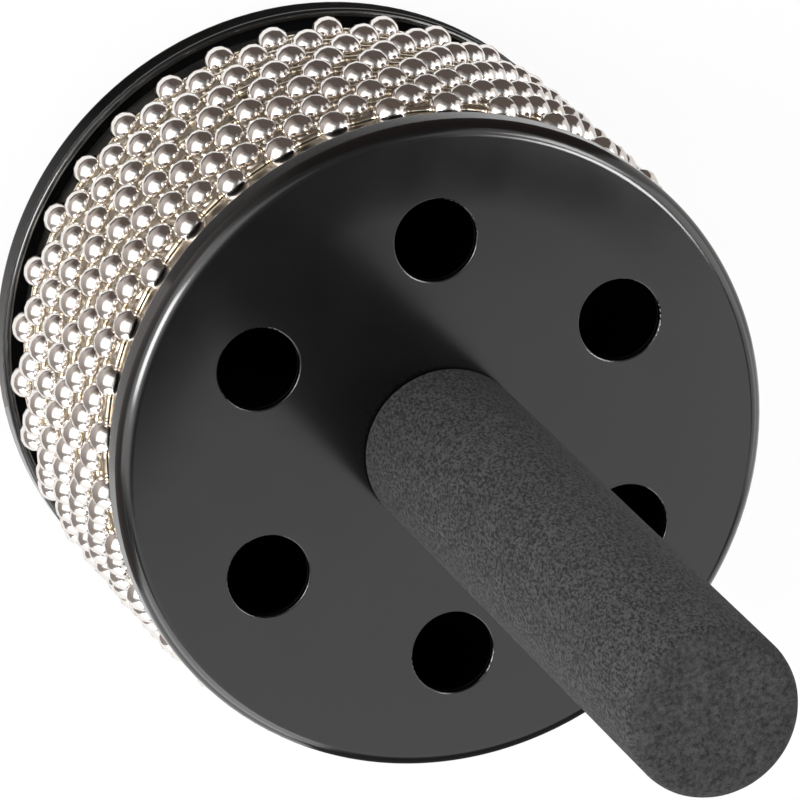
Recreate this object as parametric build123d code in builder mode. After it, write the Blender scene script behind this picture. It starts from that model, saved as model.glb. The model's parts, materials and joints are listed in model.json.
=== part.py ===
"""Cabasa: loops of ball chain round a drum between two pressed discs, on a foam-covered handle.

Millimetres and degrees. The axis of the instrument is Z, the handle points up, and the
instrument stands on the flat outer face of its rear disc at Z = 0.
"""
import os
from math import cos, pi, radians, sin, sqrt

from build123d import *

# Drum that the chains turn on
drum_radius = 52.2
drum_wall = 0.8

# Ball chains
bead_diameter = 6.0
link_gap = 3.95
link_diameter = 1.5
chain_rows = 10
nest_depth = 0.4
loop_clearance = 0.3
loop_end_play = 5.3
first_bead_angle = 1.0
row_slip = (0.5, 0.9, 0.9, 0.5, -0.7, -1.1, -0.5, -0.2, -0.1, -0.1)

# Pressed discs
disc_wall = 1.6
rim_gap = 3.5
rim_depth = 7.0
rim_round = 2.6
dish_bend = 1.0
vent_count = 6
vent_diameter = 14.4
vent_inset = 7.3
vent_edge_round = 0.3

# Rings that centre the drum on the discs
seat_ring_wall = 1.2
seat_ring_height = 8.0
seat_ring_foot = 4.5
seat_fit = 0.15

# Tie rod, spacer and fasteners
rod_diameter = 8.0
rod_fit = 0.1
rod_hole_clearance = 0.25
rod_overhang = 0.5
rod_past_insert = 8.0
rod_chamfer = 0.8
spacer_wall = 2.5
washer_thickness = 1.5
washer_edge_gap = 0.3
nut_flats = 13.0
nut_thickness = 4.0
nut_recess = 1.5
nut_corner_angle = 30.0

# Handle
core_diameter = 20.0
core_fit = 0.3
core_chamfer = 1.0
core_bore_spare = 2.0
insert_wall = 2.0
insert_length = 16.0
insert_fit = 0.1
foam_wall = 4.15
foam_fit = 0.15
foam_end_wall = 5.0
foam_end_round = 3.0
foam_base_round = 1.2
grip_length = 141.2

# Sizes that follow from the chains
bead_radius = bead_diameter / 2
loop_radius = drum_radius + loop_clearance + bead_radius
bead_count = round(2 * pi * loop_radius / (bead_diameter + link_gap))
bead_step = 360 / bead_count
bead_chord = 2 * loop_radius * sin(radians(bead_step / 2))
bead_flat_distance = sqrt(bead_radius**2 - (link_diameter / 2) ** 2)
link_length = bead_chord - 2 * bead_flat_distance
row_pitch = bead_diameter - nest_depth
row_stack = (chain_rows - 1) * row_pitch
first_row_height = rim_depth + loop_end_play + bead_radius

# Sizes that follow for the head
disc_radius = drum_radius + rim_gap + disc_wall
head_length = 2 * first_row_height + row_stack
drum_bore_radius = drum_radius - drum_wall
vent_circle_radius = drum_bore_radius - vent_inset - vent_diameter / 2
dish_radius = core_diameter / 2 + core_fit
dish_depth = nut_recess + nut_thickness + washer_thickness
rod_hole_radius = rod_diameter / 2 + rod_hole_clearance
washer_radius = dish_radius - dish_bend - washer_edge_gap
spacer_foot = dish_depth + disc_wall

# Sizes that follow for the handle
core_foot = head_length - dish_depth + washer_thickness
core_top = head_length + grip_length - foam_end_wall
rod_foot = nut_recess - rod_overhang
rod_top = core_foot + insert_length + rod_past_insert
insert_radius = rod_diameter / 2 + rod_fit + insert_wall
foam_bore_radius = core_diameter / 2 + foam_fit
foam_radius = foam_bore_radius + foam_wall

# Section planes: first axis away from the Z axis, second axis from a disc's face into the head
rear_section = Plane.XZ
front_section = Plane(origin=(0, 0, head_length), x_dir=(1, 0, 0), z_dir=(0, 1, 0))

os.makedirs("parts", exist_ok=True)


def save(piece, name):
    """Label a finished piece and write it under its name."""
    piece.part.label = name
    export_step(piece.part, f"parts/{name}.step")


def pressed_disc(section, vents):
    """Sheet disc with a dished centre, a flat face and a rolled rim with a round lip, plain or vented."""
    lip_start = rim_depth - disc_wall / 2
    outside = [
        (rod_hole_radius, dish_depth),
        (dish_radius, dish_depth),
        (dish_radius, 0),
        (disc_radius, 0),
        (disc_radius, lip_start),
    ]
    inside = [
        (rod_hole_radius, dish_depth + disc_wall),
        (dish_radius + disc_wall, dish_depth + disc_wall),
        (dish_radius + disc_wall, disc_wall),
        (disc_radius - disc_wall, disc_wall),
        (disc_radius - disc_wall, lip_start),
    ]
    bend_outside = [dish_bend, dish_bend + disc_wall, rim_round]
    bend_inside = [dish_bend + disc_wall, dish_bend, rim_round - disc_wall]
    vent_radius = vent_diameter / 2
    with BuildPart() as disc:
        with BuildSketch(section):
            with BuildLine():
                FilletPolyline(*outside, radius=bend_outside)
                FilletPolyline(*inside, radius=bend_inside)
                Line(outside[0], inside[0])
                ThreePointArc(outside[-1], (disc_radius - disc_wall / 2, rim_depth), inside[-1])
            make_face()
        revolve(axis=Axis.Z)
        if vents:
            with BuildSketch(Plane(section.origin)):
                with PolarLocations(vent_circle_radius, vents):
                    Circle(vent_radius)
            extrude(amount=2 * disc_wall, both=True, mode=Mode.SUBTRACT)
            rims = disc.edges().filter_by(GeomType.CIRCLE)
            fillet(rims.filter_by(lambda edge: abs(edge.radius - vent_radius) < 0.01), vent_edge_round)
    return disc


def seat_ring(section):
    """Angle ring: a foot on the disc's inner face and a collar inside the drum."""
    outer = drum_bore_radius - seat_fit
    foot_height = disc_wall + seat_ring_wall
    with BuildPart() as ring:
        with BuildSketch(section):
            with BuildLine():
                Polyline(
                    (outer - seat_ring_foot, disc_wall),
                    (outer, disc_wall),
                    (outer, disc_wall + seat_ring_height),
                    (outer - seat_ring_wall, disc_wall + seat_ring_height),
                    (outer - seat_ring_wall, foot_height),
                    (outer - seat_ring_foot, foot_height),
                    close=True,
                )
            make_face()
        revolve(axis=Axis.Z)
    return ring


def tube(foot, length, outer_radius, bore_radius):
    """Plain round tube standing on the Z axis."""
    with BuildPart() as piece:
        with BuildSketch(Plane.XY.offset(foot)):
            Circle(outer_radius)
            Circle(bore_radius, mode=Mode.SUBTRACT)
        extrude(amount=length)
    return piece


# Discs, drum and the rings that centre it
save(pressed_disc(rear_section, 0), "rear_disc")
save(pressed_disc(front_section, vent_count), "front_disc")
save(tube(disc_wall, head_length - 2 * disc_wall, drum_radius, drum_bore_radius), "drum_shell")
save(seat_ring(rear_section), "rear_seat_ring")
save(seat_ring(front_section), "front_seat_ring")

# Spacer between the two dishes
spacer_length = head_length - 2 * spacer_foot
save(tube(spacer_foot, spacer_length, rod_hole_radius + spacer_wall, rod_hole_radius), "spacer_tube")

# Rod through the whole head into the handle
with BuildPart() as tie_rod:
    with BuildSketch(Plane.XY.offset(rod_foot)):
        Circle(rod_diameter / 2)
    extrude(amount=rod_top - rod_foot)
    chamfer(tie_rod.edges().filter_by(GeomType.CIRCLE), rod_chamfer)
save(tie_rod, "tie_rod")

# Washers in the two dishes
save(tube(dish_depth - washer_thickness, washer_thickness, washer_radius, rod_hole_radius), "rear_washer")
save(tube(head_length - dish_depth, washer_thickness, washer_radius, rod_hole_radius), "front_washer")

# Thin hexagon nut with its corners turned off, above the resting face in the rear dish
with BuildPart() as rear_nut:
    nut_plane = Plane.XY.offset(nut_recess)
    nut_corner_radius = nut_flats / 2 / cos(radians(nut_corner_angle))
    corner_turn = nut_corner_radius - nut_flats / 2
    with BuildSketch(nut_plane):
        Circle(nut_corner_radius)
    extrude(amount=nut_thickness)
    chamfer(
        rear_nut.edges().filter_by(GeomType.CIRCLE),
        length=corner_turn * sin(radians(nut_corner_angle)),
        length2=corner_turn,
    )
    with BuildSketch(nut_plane):
        RegularPolygon(nut_flats / 2, 6, major_radius=False)
        Circle(rod_diameter / 2 + rod_fit, mode=Mode.SUBTRACT)
    extrude(amount=nut_thickness, mode=Mode.INTERSECT)
save(rear_nut, "rear_nut")

# Dowel under the foam, bored for the rod and its threaded insert
with BuildPart() as handle_core:
    with BuildSketch(Plane.XY.offset(core_foot)):
        Circle(core_diameter / 2)
    extrude(amount=core_top - core_foot)
    chamfer(handle_core.edges().filter_by(GeomType.CIRCLE), core_chamfer)
    with BuildSketch(Plane.XY.offset(core_foot)):
        Circle(rod_hole_radius)
    extrude(amount=rod_top - core_foot + core_bore_spare, mode=Mode.SUBTRACT)
    with BuildSketch(Plane.XY.offset(core_foot)):
        Circle(insert_radius + insert_fit)
    extrude(amount=insert_length, mode=Mode.SUBTRACT)
save(handle_core, "handle_core")

save(tube(core_foot, insert_length, insert_radius, rod_diameter / 2 + rod_fit), "handle_insert")

# Foam sleeve with rounded edges, closed at the far end
with BuildPart() as foam_grip:
    with BuildSketch(Plane.XY.offset(head_length)):
        Circle(foam_radius)
    extrude(amount=grip_length)
    foam_edges = foam_grip.edges().filter_by(GeomType.CIRCLE).sort_by(Axis.Z)
    fillet(foam_edges[-1], foam_end_round)
    fillet(foam_edges[0], foam_base_round)
    with BuildSketch(Plane.XY.offset(head_length)):
        Circle(foam_bore_radius)
    extrude(amount=core_top - head_length, mode=Mode.SUBTRACT)
save(foam_grip, "foam_grip")

# One ball of a chain, on the X axis, with a flat on each side where a link pin enters
with BuildPart() as bead:
    with Locations((loop_radius, 0, 0)):
        Sphere(bead_radius)
    for side in (-1, 1):
        chord_angle = radians(bead_step / 2)
        chord_direction = Vector(-sin(chord_angle), side * cos(chord_angle), 0)
        flat_centre = Vector(loop_radius, 0, 0) + chord_direction * bead_flat_distance
        split(bisect_by=Plane(origin=flat_centre, z_dir=chord_direction), keep=Keep.BOTTOM)

# One link pin, between the flats of two neighbouring balls
with BuildPart() as link:
    with Locations((loop_radius * cos(radians(bead_step / 2)), 0, 0)):
        Cylinder(link_diameter / 2, link_length, rotation=(90, 0, 0))

# Closed loops, one above the other, each about half a step round from its neighbours
for row in range(chain_rows):
    row_plane = Plane.XY.offset(first_row_height + row * row_pitch)
    row_angle = first_bead_angle + (row % 2) * bead_step / 2 + row_slip[row % len(row_slip)]
    with BuildPart(row_plane) as beads:
        with PolarLocations(0, bead_count, start_angle=row_angle):
            add(bead.part)
    save(beads, f"chain_{row + 1:02d}_beads")
    with BuildPart(row_plane) as links:
        with PolarLocations(0, bead_count, start_angle=row_angle + bead_step / 2):
            add(link.part)
    save(links, f"chain_{row + 1:02d}_links")
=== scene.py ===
"""Cabasa: ball chains, coated discs, foam grip and fittings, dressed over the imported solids.

Laid out as an add-on: property groups hold the sizes and finishes, one operator makes each
piece or group of like pieces, and one operator sets the studio. Lengths are in metres.
"""
import json
import math

import bmesh
import bpy
from bpy.props import FloatProperty, FloatVectorProperty, IntProperty, PointerProperty
from mathutils import Matrix, Quaternion, Vector, noise

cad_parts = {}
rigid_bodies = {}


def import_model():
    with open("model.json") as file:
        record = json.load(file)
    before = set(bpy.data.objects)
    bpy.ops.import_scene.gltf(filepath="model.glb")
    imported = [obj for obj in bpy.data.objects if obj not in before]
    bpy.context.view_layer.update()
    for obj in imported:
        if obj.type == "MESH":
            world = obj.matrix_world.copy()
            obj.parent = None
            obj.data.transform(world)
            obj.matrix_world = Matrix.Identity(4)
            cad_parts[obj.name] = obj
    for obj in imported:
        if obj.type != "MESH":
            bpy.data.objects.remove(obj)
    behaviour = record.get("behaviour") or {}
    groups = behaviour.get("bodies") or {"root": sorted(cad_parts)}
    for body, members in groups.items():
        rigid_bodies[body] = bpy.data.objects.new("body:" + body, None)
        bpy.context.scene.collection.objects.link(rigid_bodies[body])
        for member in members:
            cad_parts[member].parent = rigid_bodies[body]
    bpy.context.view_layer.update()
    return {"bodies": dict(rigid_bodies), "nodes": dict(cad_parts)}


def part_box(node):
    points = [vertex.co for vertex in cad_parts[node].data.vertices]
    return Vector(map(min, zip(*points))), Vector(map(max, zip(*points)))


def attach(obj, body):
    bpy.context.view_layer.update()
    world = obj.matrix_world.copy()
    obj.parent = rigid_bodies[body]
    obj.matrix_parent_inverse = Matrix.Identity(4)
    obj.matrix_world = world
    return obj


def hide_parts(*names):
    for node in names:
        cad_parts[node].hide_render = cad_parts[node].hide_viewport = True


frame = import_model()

bl_info = {
    "name": "Cabasa",
    "version": (1, 0, 0),
    "blender": (4, 5, 0),
    "location": "View3D > Sidebar > Cabasa",
    "description": "Makes the ball chains, discs, grip and fittings of a cabasa, and a studio to see it in",
    "category": "Add Mesh",
}

MM = 0.001
HEAD_BODY = "head_and_handle"
CHAINS = [name for name in frame["bodies"] if name.startswith("chain_")]
FIRST_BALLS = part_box("chain_01_beads")
GRIP_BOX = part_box("foam_grip")
CORE_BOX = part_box("handle_core")

# Faces round and along a link pin, and steps round a card of the studio
PIN_SIDES, PIN_STEPS, CARD_STEPS = 8, 4, 24

# The studio's floor lies this far below the part, and its lamps look at this height
FLOOR_DROP, LAMP_AIM = 0.2 * MM, 50 * MM

# Light index of the black coat, and roughness and sheen where it is matt, inside the head
COAT_INDEX, MATT_ROUGHNESS, MATT_SHEEN, PLAIN_SHEEN = 1.75, 0.95, 0.08, 0.5

# How far each loop has slipped round from its even place, in degrees, as in the part's source
ROW_SLIP = (0.5, 0.9, 0.9, 0.5, -0.7, -1.1, -0.5, -0.2, -0.1, -0.1)


def length(name, description, default):
    """A length that a user can change."""
    return FloatProperty(name=name, description=description, default=default, min=0.0,
                         precision=5, subtype="DISTANCE", unit="LENGTH")


def angle(name, description, degrees):
    """An angle that a user can change."""
    return FloatProperty(name=name, description=description, default=math.radians(degrees),
                         subtype="ANGLE", unit="ROTATION")


def share(name, description, default, top=1.0):
    """A plain factor that a user can change."""
    return FloatProperty(name=name, description=description, default=default, min=0.0, max=top,
                         subtype="FACTOR")


def level(name, description, default):
    """A brightness that a user can change."""
    return FloatProperty(name=name, description=description, default=default, min=0.0)


def colour(name, description, default):
    """A linear colour that a user can change."""
    return FloatVectorProperty(name=name, description=description, default=default, size=3,
                               min=0.0, max=1.0, subtype="COLOR")


class CabasaChainSizes(bpy.types.PropertyGroup):
    """Sizes of the ball chains"""

    ball_diameter: length("Ball diameter", "Across one ball", FIRST_BALLS[1].z - FIRST_BALLS[0].z)
    ball_count: IntProperty(name="Balls", description="Balls in one loop", default=35, min=3)
    loop_radius: length("Loop radius", "From the axis to the ball centres", 55.5 * MM)
    first_angle: angle("First ball", "Where the first ball of an even loop sits", 1.0)
    hole_diameter: length("Pin hole", "Across the hole where a pin enters a ball", 1.75 * MM)
    hole_depth: length("Hole depth", "How far the hole's floor lies below its edge", 0.35 * MM)
    pin_diameter: length("Pin diameter", "Across a link pin at its middle", 1.45 * MM)
    pin_inset: length("Pin inset", "How far a pin reaches into each ball", 0.3 * MM)
    pin_flare: share("Pin flare", "How much thicker a pin is where it enters a ball", 0.12)
    looseness: length("Looseness", "How far a ball may lie off its even place", 0.13 * MM)
    segments: IntProperty(name="Segments", description="Faces round a ball", default=12, min=6)
    rings: IntProperty(name="Rings", description="Rings of faces from hole to hole", default=8, min=4)
    seed: IntProperty(name="Seed", description="Seed of the loose places", default=7)


class CabasaDrumSizes(bpy.types.PropertyGroup):
    """Sizes of the drum that the chains turn on"""

    bore: length("Bore", "Radius inside the drum's sheet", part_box("drum_shell")[1].x - 0.8 * MM)
    bumps_round: IntProperty(name="Bumps round", description="Embossed bumps round the drum",
                             default=72, min=3)
    bump_pitch: length("Bump pitch", "Height from one embossed bump to the next", 4.6 * MM)
    emboss: length("Emboss", "Depth of the embossing", 0.06 * MM)


class CabasaDiscSizes(bpy.types.PropertyGroup):
    """Sizes of the pressed discs"""

    radius: length("Radius", "Outside of a disc's rim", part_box("front_disc")[1].x)
    height: length("Height", "From one disc's face to the other's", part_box("front_disc")[1].z)
    wall: length("Wall", "Thickness of the sheet", 1.6 * MM)
    rim_round: length("Rim round", "Rounding from the face into the rim", 2.6 * MM)
    rim_depth: length("Rim depth", "From the face to the end of the rim's lip", 7.0 * MM)
    dish: length("Dish", "Radius in the wall of a disc's dished centre", 11.0 * MM)
    dish_middle: length("Dish middle", "Depth in the sheet of a dish's floor", 7.8 * MM)
    crown_start: length("Crown start", "Radius where a disc's face starts to fall away", 42.0 * MM)
    crown: FloatProperty(name="Crown", description="Curvature of the outer part of a disc's face, per metre",
                         default=4.6, min=0.0)


class CabasaGripSizes(bpy.types.PropertyGroup):
    """Sizes of the foam grip"""

    radius: length("Radius", "Outside of the foam", GRIP_BOX[1].x)
    bore: length("Bore", "Radius of the hole for the dowel", 10.15 * MM)
    foot: length("Foot", "Height of the end on the disc", GRIP_BOX[0].z)
    top: length("Top", "Height of the closed end", GRIP_BOX[1].z)
    bore_top: length("Bore top", "Height of the bore's closed end", CORE_BOX[1].z)
    end_round: length("End round", "Rounding at the closed end", 3.0 * MM)
    base_round: length("Base round", "Rounding at the disc", 1.2 * MM)
    swell: length("Unevenness", "How far the skin dips between its high places", 0.07 * MM)
    mesh_step: length("Mesh step", "Spacing of the skin's faces", 0.85 * MM)


class CabasaFinishes(bpy.types.PropertyGroup):
    """Colours and gloss of the finishes"""

    coat: colour("Coat", "Satin black coat of the discs", (0.0016, 0.0016, 0.0018))
    coat_gloss: share("Coat roughness", "Roughness of the coat", 0.155)
    nickel: colour("Nickel", "Polished nickel of the balls", (0.93, 0.895, 0.87))
    nickel_gloss: share("Nickel roughness", "Roughness of the balls", 0.15)
    wire: colour("Wire", "Bright wire of the link pins", (0.90, 0.83, 0.72))
    drum: colour("Drum", "Embossed steel of the drum", (0.90, 0.86, 0.79))
    zinc: colour("Zinc", "Zinc plate of rod and fasteners", (0.62, 0.63, 0.65))
    zinc_tint: colour("Zinc tint", "Warm tint in the zinc plate", (0.66, 0.61, 0.49))
    brass: colour("Brass", "Turned brass of the insert", (0.78, 0.57, 0.25))
    wood_pale: colour("Pale wood", "Early wood of the dowel", (0.60, 0.42, 0.25))
    wood_dark: colour("Dark wood", "Late wood of the dowel", (0.38, 0.23, 0.12))
    # Painted shade: the colour of the foam's pores stands for the shade in its cells
    foam_pore_shade: colour("Foam pores", "Depth of the foam's cells", (0.008, 0.008, 0.0083))
    foam_pale: colour("Foam skin", "Walls of the foam's cells", (0.056, 0.056, 0.057))
    foam_cell: length("Foam cell", "Across one clump of the foam's cells", 0.75 * MM)


class CabasaStudio(bpy.types.PropertyGroup):
    """Camera, floor and lamps"""

    azimuth: angle("Azimuth", "Camera round the part, from the front to the right", 10.2474)
    elevation: angle("Elevation", "Camera above the horizon", 65.2920)
    roll: angle("Roll", "Turn of the camera about its view line", 134.5467)
    distance: length("Distance", "Camera to the point that it looks at", 1680.23 * MM)
    aim: FloatVectorProperty(name="Aim", description="The point that the camera looks at", size=3,
                             default=(-0.489 * MM, -0.088 * MM, 54.527 * MM), subtype="XYZ", unit="LENGTH")
    lens: FloatProperty(name="Lens", description="Focal length in millimetres", default=439.94, min=1.0)
    floor_radius: length("Floor", "Radius of the floor", 12.0)
    floor_tone: colour("Floor tone", "Colour of the floor", (0.86, 0.86, 0.86))
    floor_glow: share("Floor glow", "Share of the floor that shows as plain white", 0.93)
    sky_low: level("Horizon", "Level of the backdrop near the horizon", 0.9)
    sky_high: level("Ceiling", "Level of the dim studio above", 0.10)


def add_node(tree, kind, inputs=None, **options):
    """Add a node, set its options, and fill its inputs with values or with other nodes' outputs."""
    made = tree.nodes.new(kind)
    for name, value in options.items():
        setattr(made, name, value)
    for key, value in (inputs or {}).items():
        if isinstance(value, bpy.types.NodeSocket):
            tree.links.new(value, made.inputs[key])
        else:
            made.inputs[key].default_value = value
    return made


def maths(tree, operation, *values):
    """One Math node; gives its output."""
    return add_node(tree, "ShaderNodeMath", dict(enumerate(values)), operation=operation).outputs[0]


def vectors(tree, operation, *values):
    """One Vector Math node; gives its output."""
    return add_node(tree, "ShaderNodeVectorMath", dict(enumerate(values)), operation=operation).outputs[0]


def open_group(name, kind, inputs, outputs):
    """Start a node group with named sockets; gives the tree, its input sockets and its output node."""
    tree = bpy.data.node_groups.new(name, kind)
    for label, socket, default in inputs:
        made = tree.interface.new_socket(label, in_out="INPUT", socket_type=socket)
        if default is not None:
            made.default_value = default
    for label, socket in outputs:
        tree.interface.new_socket(label, in_out="OUTPUT", socket_type=socket)
    return tree, tree.nodes.new("NodeGroupInput").outputs, tree.nodes.new("NodeGroupOutput")


# Shader groups that several finishes share


def patches_group():
    """Soft patches: a value that drifts between two levels over the surface."""
    tree, given, result = open_group(
        "Soft patches", "ShaderNodeTree",
        [("Size", "NodeSocketFloat", 0.004), ("Low", "NodeSocketFloat", 0.0),
         ("High", "NodeSocketFloat", 1.0)],
        [("Value", "NodeSocketFloat")])
    place = add_node(tree, "ShaderNodeTexCoord").outputs["Object"]
    pattern = add_node(tree, "ShaderNodeTexNoise",
                       {"Vector": place, "Scale": maths(tree, "DIVIDE", 1.0, given["Size"]),
                        "Detail": 3.0, "Roughness": 0.55})
    drift = add_node(tree, "ShaderNodeMapRange",
                     {"Value": pattern.outputs["Fac"], "From Min": 0.3, "From Max": 0.7,
                      "To Min": given["Low"], "To Max": given["High"]})
    tree.links.new(drift.outputs["Result"], result.inputs["Value"])
    return tree


def grain_group():
    """Fine grain: small bumps of a given size and height, as a normal and as a mask."""
    tree, given, result = open_group(
        "Fine grain", "ShaderNodeTree",
        [("Size", "NodeSocketFloat", 0.001), ("Height", "NodeSocketFloat", 0.00002),
         ("Stretch", "NodeSocketFloat", 1.0)],
        [("Normal", "NodeSocketVector"), ("Mask", "NodeSocketFloat")])
    place = add_node(tree, "ShaderNodeTexCoord").outputs["Object"]
    along = add_node(tree, "ShaderNodeCombineXYZ", {"X": 1.0, "Y": 1.0, "Z": given["Stretch"]})
    shaped = vectors(tree, "MULTIPLY", place, along.outputs[0])
    pattern = add_node(tree, "ShaderNodeTexNoise",
                       {"Vector": shaped, "Scale": maths(tree, "DIVIDE", 1.0, given["Size"]),
                        "Detail": 2.0, "Roughness": 0.5})
    bump = add_node(tree, "ShaderNodeBump",
                    {"Strength": 1.0, "Distance": given["Height"], "Height": pattern.outputs["Fac"]})
    tree.links.new(bump.outputs["Normal"], result.inputs["Normal"])
    tree.links.new(pattern.outputs["Fac"], result.inputs["Mask"])
    return tree


def shared_group(name, maker):
    """A shader group that is built once."""
    return bpy.data.node_groups.get(name) or maker()


def place_group(tree, name, maker, **values):
    """Place a shared group in a material with its own values; gives its outputs."""
    made = add_node(tree, "ShaderNodeGroup", node_tree=shared_group(name, maker))
    for key, value in values.items():
        made.inputs[key].default_value = value
    return made.outputs


def patches(tree, size, low, high):
    """A value that drifts over the surface between two levels."""
    return place_group(tree, "Soft patches", patches_group, Size=size, Low=low, High=high)["Value"]


def fine_grain(tree, size, height, stretch=1.0):
    """Small bumps over the surface; gives their normal and their mask."""
    return place_group(tree, "Fine grain", grain_group, Size=size, Height=height, Stretch=stretch)


def empty_material(name):
    """A material without nodes; gives the material and its tree."""
    material = bpy.data.materials.new(name)
    material.use_nodes = True
    material.node_tree.nodes.clear()
    return material, material.node_tree


def new_finish(name):
    """A material with a surface shader; gives the material, its tree and the shader."""
    material, tree = empty_material(name)
    shader = add_node(tree, "ShaderNodeBsdfPrincipled")
    add_node(tree, "ShaderNodeOutputMaterial", {"Surface": shader.outputs[0]})
    return material, tree, shader


def fill(tree, shader, **inputs):
    """Fill a shader's inputs with values or with other nodes' outputs."""
    for key, value in inputs.items():
        socket = shader.inputs[key.replace("_", " ")]
        if isinstance(value, bpy.types.NodeSocket):
            tree.links.new(value, socket)
        else:
            socket.default_value = value


def rgba(tone):
    """A colour with full cover."""
    return (*tone, 1.0)


def blend_tones(tree, mask, low, high):
    """Mix two colours by a mask; gives the colour."""
    mix = add_node(tree, "ShaderNodeMix", {0: mask, 6: rgba(low), 7: rgba(high)}, data_type="RGBA")
    return mix.outputs[2]


def part_place(tree):
    """Coordinates of a place on the part, one by one."""
    place = add_node(tree, "ShaderNodeTexCoord").outputs["Object"]
    return add_node(tree, "ShaderNodeSeparateXYZ", {0: place}).outputs


def band(tree, value, low, high):
    """One where a value lies between two limits, else nought."""
    above, below = maths(tree, "GREATER_THAN", value, low), maths(tree, "LESS_THAN", value, high)
    return maths(tree, "MULTIPLY", above, below)


def reach_of(tree, place):
    """Distance of a place from the part's axis."""
    square = maths(tree, "ADD", maths(tree, "POWER", place["X"], 2.0), maths(tree, "POWER", place["Y"], 2.0))
    return maths(tree, "POWER", square, 0.5)


def satin_coat(finishes, sizes):
    """Satin black coat over pressed steel, a little crowned towards the rim, and matt inside the head."""
    material, tree, shader = new_finish("satin_black_coat")
    gloss = finishes.coat_gloss
    drift = patches(tree, size=9 * MM, low=gloss - 0.015, high=gloss + 0.015)
    grain = fine_grain(tree, size=0.32 * MM, height=0.002 * MM)
    tone = patches(tree, size=0.8 * MM, low=0.85, high=1.15)
    shade = add_node(tree, "ShaderNodeMix", {0: 1.0, 6: rgba(finishes.coat), 7: tone},
                     data_type="RGBA", blend_type="MULTIPLY")
    place = part_place(tree)
    reach = reach_of(tree, place)
    between = band(tree, place["Z"], 1 * MM, sizes.height - 1 * MM)
    within = band(tree, reach, sizes.dish, sizes.radius - sizes.wall + 0.2 * MM)
    deep = band(tree, place["Z"], sizes.dish_middle, sizes.height - sizes.dish_middle)
    inside = maths(tree, "MAXIMUM", deep, maths(tree, "MULTIPLY", between, within))
    matt = add_node(tree, "ShaderNodeMix", {0: inside, 2: drift, 3: MATT_ROUGHNESS}, data_type="FLOAT")
    sheen = maths(tree, "SUBTRACT", PLAIN_SHEEN, maths(tree, "MULTIPLY", inside, PLAIN_SHEEN - MATT_SHEEN))
    beyond = maths(tree, "MAXIMUM", maths(tree, "SUBTRACT", reach, sizes.crown_start), 0.0)
    fall = maths(tree, "MULTIPLY", maths(tree, "POWER", beyond, 2.0), -sizes.crown / 2)
    crown = add_node(tree, "ShaderNodeBump", {"Strength": 1.0, "Distance": 1.0, "Height": fall,
                                              "Normal": grain["Normal"]})
    fill(tree, shader, Base_Color=shade.outputs[2], Roughness=matt.outputs[0], Normal=crown.outputs["Normal"],
         IOR=COAT_INDEX, Specular_IOR_Level=sheen)
    return material


def polished_nickel(finishes):
    """Bright nickel plate with a little haze."""
    material, tree, shader = new_finish("polished_nickel")
    gloss = finishes.nickel_gloss
    haze = patches(tree, size=2.2 * MM, low=gloss - 0.03, high=gloss + 0.03)
    tone = patches(tree, size=6 * MM, low=0.0, high=1.0)
    warm = [value * drop for value, drop in zip(finishes.nickel, (0.97, 0.94, 0.90))]
    grain = fine_grain(tree, size=1.6 * MM, height=0.003 * MM)
    fill(tree, shader, Base_Color=blend_tones(tree, tone, warm, finishes.nickel),
         Roughness=haze, Normal=grain["Normal"], Metallic=1.0)
    return material


def bright_wire(finishes):
    """Drawn wire, bright and slightly warm."""
    material, tree, shader = new_finish("bright_wire")
    gloss = patches(tree, size=1.5 * MM, low=0.10, high=0.20)
    tone = patches(tree, size=2.5 * MM, low=0.0, high=1.0)
    dull = [value * drop for value, drop in zip(finishes.wire, (0.86, 0.78, 0.62))]
    fill(tree, shader, Base_Color=blend_tones(tree, tone, dull, finishes.wire),
         Roughness=gloss, Metallic=1.0)
    return material


def drum_steel(finishes, sizes):
    """Stainless sheet, embossed on the outside, with painted shade inside: there it takes the coat's black,
    matt and not metallic, so the hollow behind the vents reads dark.
    """
    material, tree, shader = new_finish("embossed_steel")
    gloss = patches(tree, size=5 * MM, low=0.34, high=0.46)
    grain = fine_grain(tree, size=0.5 * MM, height=0.004 * MM, stretch=0.06)
    place = part_place(tree)
    turn = maths(tree, "MULTIPLY", maths(tree, "ARCTAN2", place["Y"], place["X"]), float(sizes.bumps_round))
    rise = maths(tree, "MULTIPLY", place["Z"], 2 * math.pi / sizes.bump_pitch)
    outside = maths(tree, "GREATER_THAN", reach_of(tree, place), sizes.bore + 0.2 * MM)
    pattern = maths(tree, "MULTIPLY", maths(tree, "SINE", turn), maths(tree, "SINE", rise))
    emboss = add_node(tree, "ShaderNodeBump",
                      {"Strength": outside, "Distance": sizes.emboss, "Height": pattern})
    dull = [value * 0.86 for value in finishes.drum]
    steel = blend_tones(tree, grain["Mask"], dull, finishes.drum)
    # Painted shade: inside the drum the steel gives way to the coat's black, matt and not metallic, so the
    # hollow seen through the vents reads dark
    tone = add_node(tree, "ShaderNodeMix", {0: outside, 6: rgba(finishes.coat), 7: steel},
                    data_type="RGBA")
    matt = add_node(tree, "ShaderNodeMix", {0: outside, 2: 0.9, 3: gloss}, data_type="FLOAT")
    fill(tree, shader, Base_Color=tone.outputs[2], Roughness=matt.outputs[0], Normal=emboss.outputs["Normal"],
         Metallic=outside, Specular_IOR_Level=0.15)
    return material


def zinc_plate(finishes):
    """Zinc plate with a warm drift in its tint."""
    material, tree, shader = new_finish("zinc_plate")
    gloss = patches(tree, size=3 * MM, low=0.28, high=0.42)
    tint = patches(tree, size=7 * MM, low=0.0, high=0.8)
    grain = fine_grain(tree, size=0.4 * MM, height=0.006 * MM)
    fill(tree, shader, Base_Color=blend_tones(tree, tint, finishes.zinc, finishes.zinc_tint),
         Roughness=gloss, Normal=grain["Normal"], Metallic=1.0)
    return material


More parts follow.
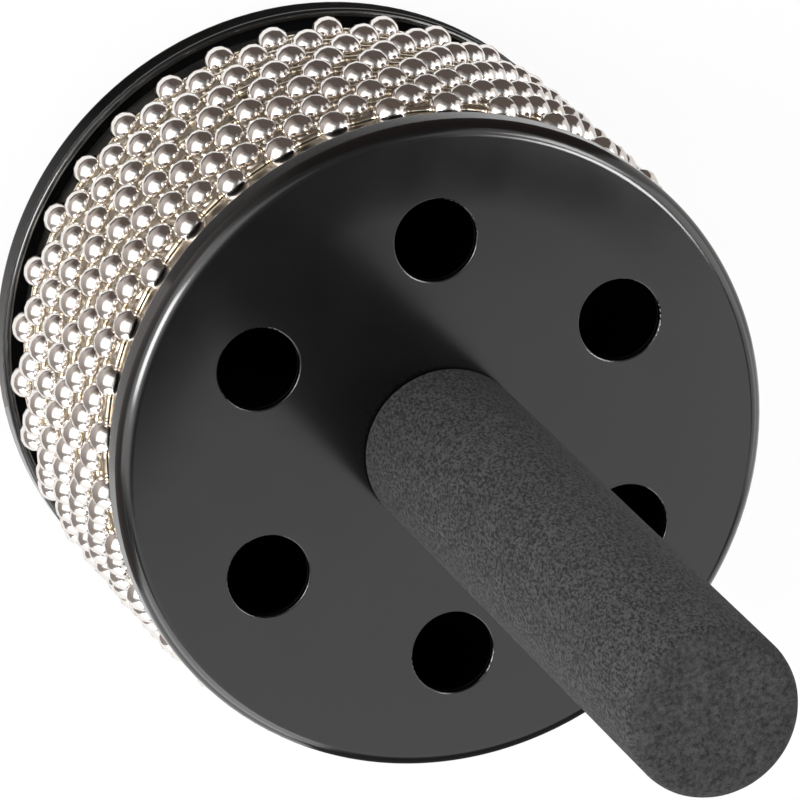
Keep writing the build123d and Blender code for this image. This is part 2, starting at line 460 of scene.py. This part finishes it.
def turned_brass(finishes):
    """Brass with turning marks."""
    material, tree, shader = new_finish("turned_brass")
    gloss = patches(tree, size=2 * MM, low=0.2, high=0.32)
    grain = fine_grain(tree, size=6 * MM, height=0.01 * MM, stretch=30.0)
    dull = [value * 0.82 for value in finishes.brass]
    fill(tree, shader, Base_Color=blend_tones(tree, grain["Mask"], dull, finishes.brass),
         Roughness=gloss, Normal=grain["Normal"], Metallic=1.0)
    return material


def dowel_wood(finishes):
    """Plain hardwood with its grain along the dowel."""
    material, tree, shader = new_finish("dowel_wood")
    grain = fine_grain(tree, size=1.6 * MM, height=0.05 * MM, stretch=0.05)
    gloss = patches(tree, size=4 * MM, low=0.5, high=0.68)
    fill(tree, shader, Base_Color=blend_tones(tree, grain["Mask"], finishes.wood_dark, finishes.wood_pale),
         Roughness=gloss, Normal=grain["Normal"])
    return material


def speckle(tree, place, scale, low, high):
    """Fine cells: a noise pattern drawn out to full contrast between two of its levels."""
    pattern = add_node(tree, "ShaderNodeTexNoise",
                       {"Vector": place, "Scale": scale, "Detail": 3.0, "Roughness": 0.75})
    return add_node(tree, "ShaderNodeMapRange",
                    {"Value": pattern.outputs["Fac"], "From Min": low, "From Max": high}).outputs["Result"]


def black_foam(finishes, sizes):
    """Fine-celled foam, drawn out along the grip and coarser on its end: pale cell walls, and pores darkened
    in colour as painted shade of the cells, which the bump also shades.
    """
    material, tree, shader = new_finish("black_foam")
    place = add_node(tree, "ShaderNodeTexCoord").outputs["Object"]
    drawn = vectors(tree, "MULTIPLY", place, (1.0, 1.0, 0.5))
    side = speckle(tree, drawn, scale=1.6 / finishes.foam_cell, low=0.43, high=0.57)
    end = speckle(tree, place, scale=0.9 / finishes.foam_cell, low=0.3, high=0.7)
    rise = add_node(tree, "ShaderNodeSeparateXYZ", {0: place}).outputs["Z"]
    at_end = add_node(tree, "ShaderNodeMapRange",
                      {"Value": rise, "From Min": sizes.top - 2 * MM, "From Max": sizes.top - 0.5 * MM})
    skin = add_node(tree, "ShaderNodeMix", {0: at_end.outputs["Result"], 2: side, 3: end},
                    data_type="FLOAT").outputs[0]
    blotch = patches(tree, size=3.5 * MM, low=0.85, high=1.1)
    # Painted shade: the colour goes dark where the bump's pattern is low, in the cells' hollows
    speck_with_pore_shade = blend_tones(tree, skin, finishes.foam_pore_shade, finishes.foam_pale)
    shade = add_node(tree, "ShaderNodeMix", {0: 1.0, 6: speck_with_pore_shade, 7: blotch},
                     data_type="RGBA", blend_type="MULTIPLY")
    bump = add_node(tree, "ShaderNodeBump", {"Strength": 0.7, "Distance": 0.12 * MM, "Height": skin})
    fill(tree, shader, Base_Color=shade.outputs[2], Roughness=0.93, Normal=bump.outputs["Normal"],
         Specular_IOR_Level=0.25, Sheen_Weight=0.03, Sheen_Roughness=0.5)
    return material


# Geometry trees


def ball_loop_tree():
    """One closed loop of balls, each with a pin hole at both ends of its chord."""
    tree, given, result = open_group(
        "Ball loop", "GeometryNodeTree",
        [("Count", "NodeSocketInt", 35), ("Loop Radius", "NodeSocketFloat", 0.0555),
         ("Height", "NodeSocketFloat", 0.0), ("First Angle", "NodeSocketFloat", 0.0),
         ("Ball Radius", "NodeSocketFloat", 0.003), ("Hole Angle", "NodeSocketFloat", 0.3),
         ("Hole Depth", "NodeSocketFloat", 0.0003), ("Looseness", "NodeSocketFloat", 0.0001),
         ("Segments", "NodeSocketInt", 12), ("Rings", "NodeSocketInt", 8), ("Seed", "NodeSocketInt", 0),
         ("Finish", "NodeSocketMaterial", None)],
        [("Geometry", "NodeSocketGeometry")])
    ball = add_node(tree, "GeometryNodeMeshUVSphere",
                    {"Segments": given["Segments"], "Rings": given["Rings"], "Radius": given["Ball Radius"]})
    place = add_node(tree, "GeometryNodeInputPosition").outputs[0]
    parts = add_node(tree, "ShaderNodeSeparateXYZ", {0: place}).outputs
    rise = maths(tree, "DIVIDE", parts["Z"], given["Ball Radius"])
    ring_step = maths(tree, "DIVIDE", math.pi, given["Rings"])
    lean = add_node(tree, "ShaderNodeMapRange",
                    {"Value": maths(tree, "ARCCOSINE", rise), "From Min": ring_step,
                     "From Max": maths(tree, "SUBTRACT", math.pi, ring_step),
                     "To Min": given["Hole Angle"],
                     "To Max": maths(tree, "SUBTRACT", math.pi, given["Hole Angle"])},
                    clamp=False).outputs["Result"]
    outward = vectors(tree, "NORMALIZE", vectors(tree, "MULTIPLY", place, (1.0, 1.0, 0.0)))
    girth = maths(tree, "MULTIPLY", maths(tree, "SINE", lean), given["Ball Radius"])
    round_part = add_node(tree, "ShaderNodeVectorMath", {0: outward, "Scale": girth}, operation="SCALE")
    hole_edge = maths(tree, "MULTIPLY", maths(tree, "COSINE", given["Hole Angle"]), given["Ball Radius"])
    hole_floor = maths(tree, "SUBTRACT", hole_edge, given["Hole Depth"])
    pole_height = maths(tree, "MULTIPLY", hole_floor, maths(tree, "SIGN", parts["Z"]))
    at_pole = maths(tree, "GREATER_THAN", maths(tree, "ABSOLUTE", rise), 0.999)
    skin_height = maths(tree, "MULTIPLY", maths(tree, "COSINE", lean), given["Ball Radius"])
    pole_or_skin = add_node(tree, "ShaderNodeMix", {0: at_pole, 2: skin_height, 3: pole_height},
                            data_type="FLOAT")
    upward = add_node(tree, "ShaderNodeCombineXYZ", {"Z": pole_or_skin.outputs[0]})
    moved = vectors(tree, "ADD", round_part.outputs[0], upward.outputs[0])
    drilled = add_node(tree, "GeometryNodeSetPosition", {"Geometry": ball.outputs["Mesh"], "Position": moved})
    laid = add_node(tree, "GeometryNodeTransform",
                    {"Geometry": drilled.outputs[0], "Rotation": (math.pi / 2, 0.0, 0.0)})
    threaded = loop_of(tree, given, laid.outputs[0], given["Loop Radius"], 0.0)
    finish_loop(tree, given, threaded, result)
    return tree


def pin_loop_tree():
    """The link pins of one loop, each on the chord between two balls."""
    tree, given, result = open_group(
        "Pin loop", "GeometryNodeTree",
        [("Count", "NodeSocketInt", 35), ("Loop Radius", "NodeSocketFloat", 0.0555),
         ("Height", "NodeSocketFloat", 0.0), ("First Angle", "NodeSocketFloat", 0.0),
         ("Pin Radius", "NodeSocketFloat", 0.0007), ("Pin Length", "NodeSocketFloat", 0.004),
         ("Flare", "NodeSocketFloat", 0.1), ("Looseness", "NodeSocketFloat", 0.0001),
         ("Seed", "NodeSocketInt", 0), ("Finish", "NodeSocketMaterial", None)],
        [("Geometry", "NodeSocketGeometry")])
    pin = add_node(tree, "GeometryNodeMeshCylinder",
                   {"Vertices": PIN_SIDES, "Side Segments": PIN_STEPS,
                    "Radius": given["Pin Radius"], "Depth": given["Pin Length"]})
    place = add_node(tree, "GeometryNodeInputPosition").outputs[0]
    parts = add_node(tree, "ShaderNodeSeparateXYZ", {0: place}).outputs
    along = maths(tree, "DIVIDE", maths(tree, "MULTIPLY", parts["Z"], 2.0), given["Pin Length"])
    bell = maths(tree, "MULTIPLY", maths(tree, "POWER", maths(tree, "ABSOLUTE", along), 3.0), given["Flare"])
    widen = maths(tree, "ADD", bell, 1.0)
    stretch = add_node(tree, "ShaderNodeCombineXYZ", {"X": widen, "Y": widen, "Z": 1.0})
    moved = vectors(tree, "MULTIPLY", place, stretch.outputs[0])
    flared = add_node(tree, "GeometryNodeSetPosition", {"Geometry": pin.outputs["Mesh"], "Position": moved})
    laid = add_node(tree, "GeometryNodeTransform",
                    {"Geometry": flared.outputs[0], "Rotation": (math.pi / 2, 0.0, 0.0)})
    half_step = maths(tree, "DIVIDE", math.pi, given["Count"])
    chord_radius = maths(tree, "MULTIPLY", given["Loop Radius"], maths(tree, "COSINE", half_step))
    threaded = loop_of(tree, given, laid.outputs[0], chord_radius, 0.5)
    finish_loop(tree, given, threaded, result)
    return tree


def loop_of(tree, given, piece, radius, offset):
    """Set copies of a piece round the axis, a little loose, facing along the loop."""
    points = add_node(tree, "GeometryNodePoints", {"Count": given["Count"]})
    index = add_node(tree, "GeometryNodeInputIndex").outputs[0]
    step = maths(tree, "DIVIDE", 2 * math.pi, given["Count"])
    turn = maths(tree, "MULTIPLY_ADD", maths(tree, "ADD", index, offset), step, given["First Angle"])
    radius = maths(tree, "SUBTRACT", radius, given["Looseness"])
    even = add_node(tree, "ShaderNodeCombineXYZ",
                    {"X": maths(tree, "MULTIPLY", maths(tree, "COSINE", turn), radius),
                     "Y": maths(tree, "MULTIPLY", maths(tree, "SINE", turn), radius), "Z": given["Height"]})
    back = maths(tree, "MULTIPLY", given["Looseness"], -1.0)
    low = add_node(tree, "ShaderNodeCombineXYZ", {axis: back for axis in "XYZ"})
    high = add_node(tree, "ShaderNodeCombineXYZ", {axis: given["Looseness"] for axis in "XYZ"})
    drawn = add_node(tree, "FunctionNodeRandomValue",
                     {0: low.outputs[0], 1: high.outputs[0], "Seed": given["Seed"]},
                     data_type="FLOAT_VECTOR")
    loose = vectors(tree, "ADD", even.outputs[0], drawn.outputs[0])
    placed = add_node(tree, "GeometryNodeSetPosition", {"Geometry": points.outputs[0], "Position": loose})
    facing = add_node(tree, "ShaderNodeCombineXYZ", {"Z": turn})
    facing = add_node(tree, "FunctionNodeEulerToRotation", {0: facing.outputs[0]})
    copies = add_node(tree, "GeometryNodeInstanceOnPoints",
                      {"Points": placed.outputs[0], "Instance": piece, "Rotation": facing.outputs[0]})
    return copies.outputs[0]


def finish_loop(tree, given, instances, result):
    """Turn instances into one smooth mesh with its finish."""
    real = add_node(tree, "GeometryNodeRealizeInstances", {0: instances})
    smooth = add_node(tree, "GeometryNodeSetShadeSmooth", {"Geometry": real.outputs[0], "Shade Smooth": True})
    dressed = add_node(tree, "GeometryNodeSetMaterial",
                       {"Geometry": smooth.outputs[0], "Material": given["Finish"]})
    tree.links.new(dressed.outputs[0], result.inputs["Geometry"])


def grow(name, tree, **values):
    """Run a geometry tree with its named inputs and keep the result as a plain mesh piece."""
    piece = bpy.data.objects.new(name, bpy.data.meshes.new(name))
    bpy.context.scene.collection.objects.link(piece)
    modifier = piece.modifiers.new("tree", "NODES")
    modifier.node_group = tree
    sockets = {item.name: item.identifier for item in tree.interface.items_tree if item.in_out == "INPUT"}
    for key, value in values.items():
        modifier[sockets[key.replace("_", " ")]] = value
    bpy.context.view_layer.update()
    made = bpy.data.meshes.new_from_object(piece.evaluated_get(bpy.context.evaluated_depsgraph_get()))
    made.name = name
    piece.modifiers.clear()
    piece.data = made
    return piece


def mesh_piece(name, shape, finish):
    """A piece from a finished bmesh."""
    mesh = bpy.data.meshes.new(name)
    shape.to_mesh(mesh)
    shape.free()
    mesh.polygons.foreach_set("use_smooth", [True] * len(mesh.polygons))
    mesh.materials.append(finish)
    piece = bpy.data.objects.new(name, mesh)
    bpy.context.scene.collection.objects.link(piece)
    return piece


def settle(piece, body, slot, *nodes):
    """Let a piece ride on a body and stand for solids, which are hidden; its slot is not used."""
    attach(piece, body)
    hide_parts(*nodes)


def dress(node, material):
    """Give a solid that stays in sight its finish."""
    data = frame["nodes"][node].data
    data.materials.clear()
    data.materials.append(material)


class CABASA_OT_chains(bpy.types.Operator):
    """Thread the loops of balls and link pins round the drum"""

    bl_idname = "cabasa.chains"
    bl_label = "Ball chains"

    def execute(self, context):
        sizes, finishes = context.scene.cabasa_chains, context.scene.cabasa_finishes
        nickel, wire = polished_nickel(finishes), bright_wire(finishes)
        ball_tree, pin_tree = ball_loop_tree(), pin_loop_tree()
        step = 2 * math.pi / sizes.ball_count
        ball_radius, hole_radius = sizes.ball_diameter / 2, sizes.hole_diameter / 2
        chord = 2 * sizes.loop_radius * math.sin(step / 2)
        face_gap = chord - 2 * math.sqrt(ball_radius**2 - hole_radius**2)
        for row, chain in enumerate(CHAINS):
            low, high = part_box(chain + "_beads")
            slip = math.radians(ROW_SLIP[row % len(ROW_SLIP)])
            common = {"Count": sizes.ball_count, "Loop_Radius": sizes.loop_radius,
                      "Height": (low.z + high.z) / 2, "Seed": sizes.seed + row,
                      "First_Angle": sizes.first_angle + (row % 2) * step / 2 + slip}
            balls = grow(chain + "_balls", ball_tree, **common, Ball_Radius=ball_radius,
                         Hole_Angle=math.asin(hole_radius / ball_radius), Hole_Depth=sizes.hole_depth,
                         Looseness=sizes.looseness, Segments=sizes.segments, Rings=sizes.rings, Finish=nickel)
            settle(balls, chain, "bead_nickel", chain + "_beads")
            pins = grow(chain + "_pins", pin_tree, **common, Pin_Radius=sizes.pin_diameter / 2,
                        Pin_Length=face_gap + 2 * sizes.pin_inset, Flare=sizes.pin_flare,
                        Looseness=sizes.looseness / 2, Finish=wire)
            settle(pins, chain, "link_wire", chain + "_links")
        return {"FINISHED"}


class CABASA_OT_discs(bpy.types.Operator):
    """Coat the two pressed discs, the rings that centre the drum and the spacer"""

    bl_idname = "cabasa.discs"
    bl_label = "Coated pieces"

    def execute(self, context):
        sizes = context.scene.cabasa_discs
        coat = satin_coat(context.scene.cabasa_finishes, sizes)
        for node in ("front_disc", "rear_disc", "front_seat_ring", "rear_seat_ring", "spacer_tube"):
            dress(node, coat)
        round_rim("rear_disc", 0.0, 1.0, sizes)
        round_rim("front_disc", sizes.height, -1.0, sizes)
        return {"FINISHED"}


def round_rim(node, face, inward, sizes):
    """Give a disc's rim the normals of its true round section, so that highlights run smoothly along it."""
    data = frame["nodes"][node].data
    normals = [corner_normal.vector.copy() for corner_normal in data.corner_normals]
    for loop in data.loops:
        place = data.vertices[loop.vertex_index].co
        reach = math.hypot(place.x, place.y)
        lean = rim_lean(reach, (place.z - face) * inward, sizes)
        if lean:
            out, deep = lean
            normals[loop.index] = Vector((out * place.x / reach, out * place.y / reach, deep * inward))
    for face_polygon in data.polygons:
        if not face_polygon.use_smooth:
            for index in face_polygon.loop_indices:
                normals[index] = face_polygon.normal.copy()
    data.normals_split_custom_set(normals)


def rim_lean(reach, depth, sizes):
    """Normal of the rim's section at a reach from the axis and a depth behind the face, if on the rim."""
    near = 0.03 * MM
    lip = sizes.wall / 2
    corner_reach = sizes.radius - sizes.rim_round
    lip_depth = sizes.rim_depth - lip
    out, deep = reach - corner_reach, depth - sizes.rim_round
    bend = math.hypot(out, deep)
    if out > -near and deep < near:
        if abs(bend - sizes.rim_round) < near:
            return out / bend, deep / bend
        if abs(bend - (sizes.rim_round - sizes.wall)) < near:
            return -out / bend, -deep / bend
    out, deep = reach - (sizes.radius - lip), depth - lip_depth
    if deep > -near and abs(math.hypot(out, deep) - lip) < near:
        return out / lip, deep / lip
    if sizes.rim_round < depth < lip_depth:
        if abs(reach - sizes.radius) < near:
            return 1.0, 0.0
        if abs(reach - sizes.radius + sizes.wall) < near:
            return -1.0, 0.0
    return None


class CABASA_OT_drum(bpy.types.Operator):
    """Dress the drum that the chains turn on"""

    bl_idname = "cabasa.drum"
    bl_label = "Drum"

    def execute(self, context):
        dress("drum_shell", drum_steel(context.scene.cabasa_finishes, context.scene.cabasa_drum))
        return {"FINISHED"}


class CABASA_OT_grip(bpy.types.Operator):
    """Mould the foam grip over the dowel"""

    bl_idname = "cabasa.grip"
    bl_label = "Foam grip"

    def execute(self, context):
        sizes = context.scene.cabasa_grip
        foam = black_foam(context.scene.cabasa_finishes, sizes)
        piece = mesh_piece("foam_sleeve", sleeve_shape(sizes), foam)
        settle(piece, HEAD_BODY, "black_foam", "foam_grip")
        return {"FINISHED"}


def corner(centre, radius, start, end, steps):
    """Points of a rounded corner in the section, angles in degrees."""
    turns = [math.radians(start + (end - start) * k / steps) for k in range(steps + 1)]
    return [(centre[0] + radius * math.cos(turn), centre[1] + radius * math.sin(turn)) for turn in turns]


def run(start, end, step):
    """Evenly spaced points between two points of the section, ends left out."""
    (r0, z0), (r1, z1) = start, end
    count = max(1, round(math.hypot(r1 - r0, z1 - z0) / step))
    return [(r0 + (r1 - r0) * k / count, z0 + (z1 - z0) * k / count) for k in range(1, count)]


def sleeve_section(sizes):
    """Outline of the foam's skin from the bore over the base and side to the closed end, without its pole."""
    base, end, step = sizes.base_round, sizes.end_round, sizes.mesh_step
    base_corner = corner((sizes.radius - base, sizes.foot + base), base, -90, 0, 5)
    end_corner = corner((sizes.radius - end, sizes.top - end), end, 0, 90, 7)
    bore_edge = (sizes.bore, sizes.foot)
    last = (step, sizes.top)
    return ([bore_edge] + run(bore_edge, base_corner[0], step) + base_corner
            + run(base_corner[-1], end_corner[0], step) + end_corner
            + run(end_corner[-1], last, step) + [last])


def sleeve_shape(sizes):
    """Foam sleeve: an uneven outer skin, a closed end and a plain bore."""
    shape = bmesh.new()
    count = round(2 * math.pi * sizes.radius / sizes.mesh_step)
    section = [(sizes.bore, sizes.bore_top)] + sleeve_section(sizes)
    rings = []
    for radius, height in section:
        ring = []
        for k in range(count):
            turn = 2 * math.pi * k / count
            ring.append(shape.verts.new((radius * math.cos(turn), radius * math.sin(turn), height)))
        rings.append(ring)
    end_pole = shape.verts.new((0.0, 0.0, sizes.top))
    bore_pole = shape.verts.new((0.0, 0.0, sizes.bore_top))
    for lower, upper in zip(rings, rings[1:]):
        for k in range(count):
            shape.faces.new((lower[k], lower[k - 1], upper[k - 1], upper[k]))
    for k in range(count):
        shape.faces.new((rings[-1][k], rings[-1][k - 1], end_pole))
        shape.faces.new((rings[0][k - 1], rings[0][k], bore_pole))
    bmesh.ops.recalc_face_normals(shape, faces=shape.faces)
    shape.normal_update()
    skin = [vert for ring in rings[2:] for vert in ring] + [end_pole]
    shift = [(vert, dip(vert.co, sizes)) for vert in skin]
    for vert, depth in shift:
        vert.co -= vert.normal * depth
    return shape


def dip(place, sizes):
    """How far the foam's skin dips at a place."""
    slow = noise.noise(place / (9 * MM))
    quick = noise.noise(place / (2.4 * MM) + Vector((3.0, 7.0, 1.0)))
    return sizes.swell * (0.5 + 0.3 * slow + 0.2 * quick)


class CABASA_OT_fittings(bpy.types.Operator):
    """Dress the rod, fasteners, dowel and insert"""

    bl_idname = "cabasa.fittings"
    bl_label = "Fittings"

    def execute(self, context):
        finishes = context.scene.cabasa_finishes
        zinc = zinc_plate(finishes)
        for node in ("tie_rod", "rear_washer", "rear_nut", "front_washer"):
            dress(node, zinc)
        dress("handle_insert", turned_brass(finishes))
        dress("handle_core", dowel_wood(finishes))
        return {"FINISHED"}


class CABASA_OT_stage(bpy.types.Operator):
    """Set the floor, the lamps and the camera"""

    bl_idname = "cabasa.stage"
    bl_label = "Studio"

    def execute(self, context):
        studio = context.scene.cabasa_studio
        set_floor(studio)
        set_sky(studio)
        set_lamps()
        set_cards()
        set_camera(studio)
        context.scene.view_settings.view_transform = "Standard"
        return {"FINISHED"}


def set_floor(studio):
    """Pale floor that keeps shadows, shows as white, and can be seen through from below."""
    material, tree = empty_material("studio_floor")
    rays = add_node(tree, "ShaderNodeLightPath").outputs
    seen = maths(tree, "MAXIMUM", rays["Is Camera Ray"],
                 maths(tree, "MAXIMUM", rays["Is Glossy Ray"], rays["Is Transmission Ray"]))
    lit = add_node(tree, "ShaderNodeBsdfDiffuse", {"Color": rgba(studio.floor_tone)})
    white = add_node(tree, "ShaderNodeEmission", {"Color": (1.0, 1.0, 1.0, 1.0), "Strength": 1.0})
    glow = maths(tree, "MULTIPLY", seen, studio.floor_glow)
    top = add_node(tree, "ShaderNodeMixShader", {0: glow, 1: lit.outputs[0], 2: white.outputs[0]})
    under = add_node(tree, "ShaderNodeBsdfTransparent")
    side = add_node(tree, "ShaderNodeNewGeometry").outputs["Backfacing"]
    both = add_node(tree, "ShaderNodeMixShader", {0: side, 1: top.outputs[0], 2: under.outputs[0]})
    add_node(tree, "ShaderNodeOutputMaterial", {"Surface": both.outputs[0]})
    shape = bmesh.new()
    bmesh.ops.create_circle(shape, cap_ends=True, segments=96, radius=studio.floor_radius,
                            matrix=Matrix.Translation((0.0, 0.0, -FLOOR_DROP)))
    floor = mesh_piece("studio_floor", shape, material)


def set_sky(studio):
    """Backdrop: pale near the horizon, a dim studio above."""
    world = bpy.data.worlds.new("studio")
    bpy.context.scene.world = world
    world.use_nodes = True
    tree = world.node_tree
    tree.nodes.clear()
    direction = add_node(tree, "ShaderNodeTexCoord").outputs["Generated"]
    rise = add_node(tree, "ShaderNodeSeparateXYZ", {0: direction}).outputs["Z"]
    glow = add_node(tree, "ShaderNodeMapRange",
                    {"Value": rise, "From Min": 0.12, "From Max": 0.45,
                     "To Min": studio.sky_low, "To Max": studio.sky_high}, interpolation_type="SMOOTHSTEP")
    back = add_node(tree, "ShaderNodeBackground", {"Color": glow.outputs["Result"], "Strength": 1.0})
    add_node(tree, "ShaderNodeOutputWorld", {"Surface": back.outputs[0]})


def lamp(name, azimuth, elevation, distance, width, height, radiance):
    """A soft box that looks at the head, placed by its direction in degrees, with its brightness."""
    data = bpy.data.lights.new(name, "AREA")
    data.shape = "RECTANGLE"
    data.size, data.size_y = width, height
    data.energy = radiance * math.pi * width * height
    box = bpy.data.objects.new(name, data)
    bpy.context.scene.collection.objects.link(box)
    turn, rise = math.radians(azimuth), math.radians(elevation)
    toward = Vector((math.cos(turn) * math.cos(rise), math.sin(turn) * math.cos(rise), math.sin(rise)))
    box.location = Vector((0.0, 0.0, LAMP_AIM)) + toward * distance
    box.rotation_mode = "QUATERNION"
    box.rotation_quaternion = toward.to_track_quat("Z", "Y")
    box.visible_camera = False


def set_lamps():
    """Key from the left that fades outward, a top light behind, two small rim lights and two pale walls."""
    lamp("key_halo", -50.0, 45.0, 1.0, 2.3, 2.3, 0.09)
    lamp("key_box", -47.0, 41.0, 1.0, 1.4, 1.4, 0.5)
    lamp("key_inner", -46.0, 40.0, 0.99, 1.1, 0.9, 0.82)
    lamp("key_middle", -46.0, 39.0, 0.98, 0.4, 0.4, 12.0)
    lamp("top_box", 72.0, 49.6, 1.1, 1.4, 0.9, 0.77)
    lamp("rim_light", 151.0, 60.0, 1.1, 0.24, 0.3, 12.0)
    lamp("side_light", 182.0, 46.0, 1.1, 0.3, 0.3, 6.0)
    lamp("right_wall", 147.0, 22.0, 1.2, 1.1, 0.9, 0.85)
    lamp("near_wall", 33.0, 18.0, 1.2, 1.05, 0.9, 1.9)


def standing(inner, top):
    """Section of a card that lies on the floor from a radius outward and bends up far off."""
    return [(inner, 1 * MM), (0.3, 2 * MM), (1.3, 3 * MM), (1.5, 0.4 * top), (1.6, top)]


def card(name, start, end, section, first, last):
    """A card that only polished surfaces see, its tone running from first to last; angles in degrees."""
    material, tree = empty_material(name)
    tone = add_node(tree, "ShaderNodeAttribute", attribute_name="tone").outputs["Color"]
    shade = add_node(tree, "ShaderNodeEmission", {"Color": tone, "Strength": 1.0})
    add_node(tree, "ShaderNodeOutputMaterial", {"Surface": shade.outputs[0]})
    shape = bmesh.new()
    tones = shape.verts.layers.float_color.new("tone")
    rings = []
    for radius, height in section:
        ring = []
        for k in range(CARD_STEPS + 1):
            turn = math.radians(start + (end - start) * k / CARD_STEPS)
            ring.append(shape.verts.new((radius * math.cos(turn), radius * math.sin(turn), height)))
            ring[-1][tones] = rgba(Vector(first).lerp(Vector(last), k / CARD_STEPS))
        rings.append(ring)
    for lower, upper in zip(rings, rings[1:]):
        for k in range(CARD_STEPS):
            shape.faces.new((lower[k], lower[k + 1], upper[k + 1], upper[k]))
    made = mesh_piece(name, shape, material)
    for ray in ("camera", "diffuse", "transmission", "shadow", "volume_scatter"):
        setattr(made, "visible_" + ray, False)


def set_cards():
    """Pale, grey and dark cards that give balls and rims their reflections."""
    dark, grey, gap = (0.098, 0.078, 0.070), (0.540, 0.500, 0.480), (0.280, 0.250, 0.235)
    pale, black = (0.700, 0.680, 0.670), (0.030, 0.028, 0.026)
    far, ring = (0.090, 0.085, 0.080), (0.100, 0.090, 0.085)
    panel = [(1.371, 0.824), (1.028, 1.226), (0.573, 1.494)]
    card("right_card", 142.0, 184.0, standing(85 * MM, 0.6) + panel, pale, pale)
    card("panel_card", 184.0, 210.0, panel, pale, pale)
    card("dark_card", -176.0, -104.0, standing(85 * MM, 1.1), dark, dark)
    card("edge_card", -104.0, -66.0, standing(85 * MM, 0.75), dark, grey)
    card("key_card", -66.0, -15.0, standing(85 * MM, 0.1), grey, gap)
    card("gap_card", -15.0, 8.0, standing(90 * MM, 0.5), gap, gap)
    card("far_card", 52.0, 104.0, standing(85 * MM, 0.6), far, far)
    foot = [(57.5 * MM, 0.5 * MM), (62 * MM, 0.5 * MM)]
    card("foot_card", -205.0, -80.0, foot, black, black)
    card("foot_edge_card", -80.0, -20.0, foot, black, pale)
    card("ring_card", -150.0, -62.0, [(84 * MM, 2.5 * MM), (108 * MM, 2.5 * MM)], ring, ring)


def set_camera(studio):
    """Camera at the photograph's place, looking at the part's axis."""
    data = bpy.data.cameras.new("camera")
    data.lens = studio.lens
    data.clip_start, data.clip_end = 0.1, 50.0
    camera = bpy.data.objects.new("camera", data)
    bpy.context.scene.collection.objects.link(camera)
    flat = math.cos(studio.elevation)
    back = Vector((math.sin(studio.azimuth) * flat, -math.cos(studio.azimuth) * flat,
                   math.sin(studio.elevation)))
    camera.location = Vector(studio.aim) + back * studio.distance
    camera.rotation_mode = "QUATERNION"
    camera.rotation_quaternion = (-back).to_track_quat("-Z", "Y") @ Quaternion((0.0, 0.0, 1.0), studio.roll)
    bpy.context.scene.camera = camera


class CABASA_PT_panel(bpy.types.Panel):
    """Lists the pieces of the cabasa and its studio"""

    bl_idname = "CABASA_PT_panel"
    bl_label = "Cabasa"
    bl_space_type = "VIEW_3D"
    bl_region_type = "UI"
    bl_category = "Cabasa"

    def draw(self, context):
        for operator in OPERATORS:
            self.layout.operator(operator.bl_idname)


PROPERTY_GROUPS = {
    "cabasa_chains": CabasaChainSizes,
    "cabasa_drum": CabasaDrumSizes,
    "cabasa_discs": CabasaDiscSizes,
    "cabasa_grip": CabasaGripSizes,
    "cabasa_finishes": CabasaFinishes,
    "cabasa_studio": CabasaStudio,
}
OPERATORS = (CABASA_OT_stage, CABASA_OT_chains, CABASA_OT_discs, CABASA_OT_drum, CABASA_OT_grip,
             CABASA_OT_fittings)


def register():
    """Register the classes and hang the settings on the scene."""
    for name, group in PROPERTY_GROUPS.items():
        bpy.utils.register_class(group)
        setattr(bpy.types.Scene, name, PointerProperty(type=group))
    for operator in OPERATORS:
        bpy.utils.register_class(operator)
    bpy.utils.register_class(CABASA_PT_panel)


def unregister():
    """Take the settings and classes away again."""
    bpy.utils.unregister_class(CABASA_PT_panel)
    for operator in reversed(OPERATORS):
        bpy.utils.unregister_class(operator)
    for name, group in PROPERTY_GROUPS.items():
        delattr(bpy.types.Scene, name)
        bpy.utils.unregister_class(group)


def main():
    """Make the pieces in order."""
    register()
    bpy.ops.cabasa.stage()
    bpy.ops.cabasa.chains()
    bpy.ops.cabasa.discs()
    bpy.ops.cabasa.drum()
    bpy.ops.cabasa.grip()
    bpy.ops.cabasa.fittings()


if __name__ == "__main__":
    main()
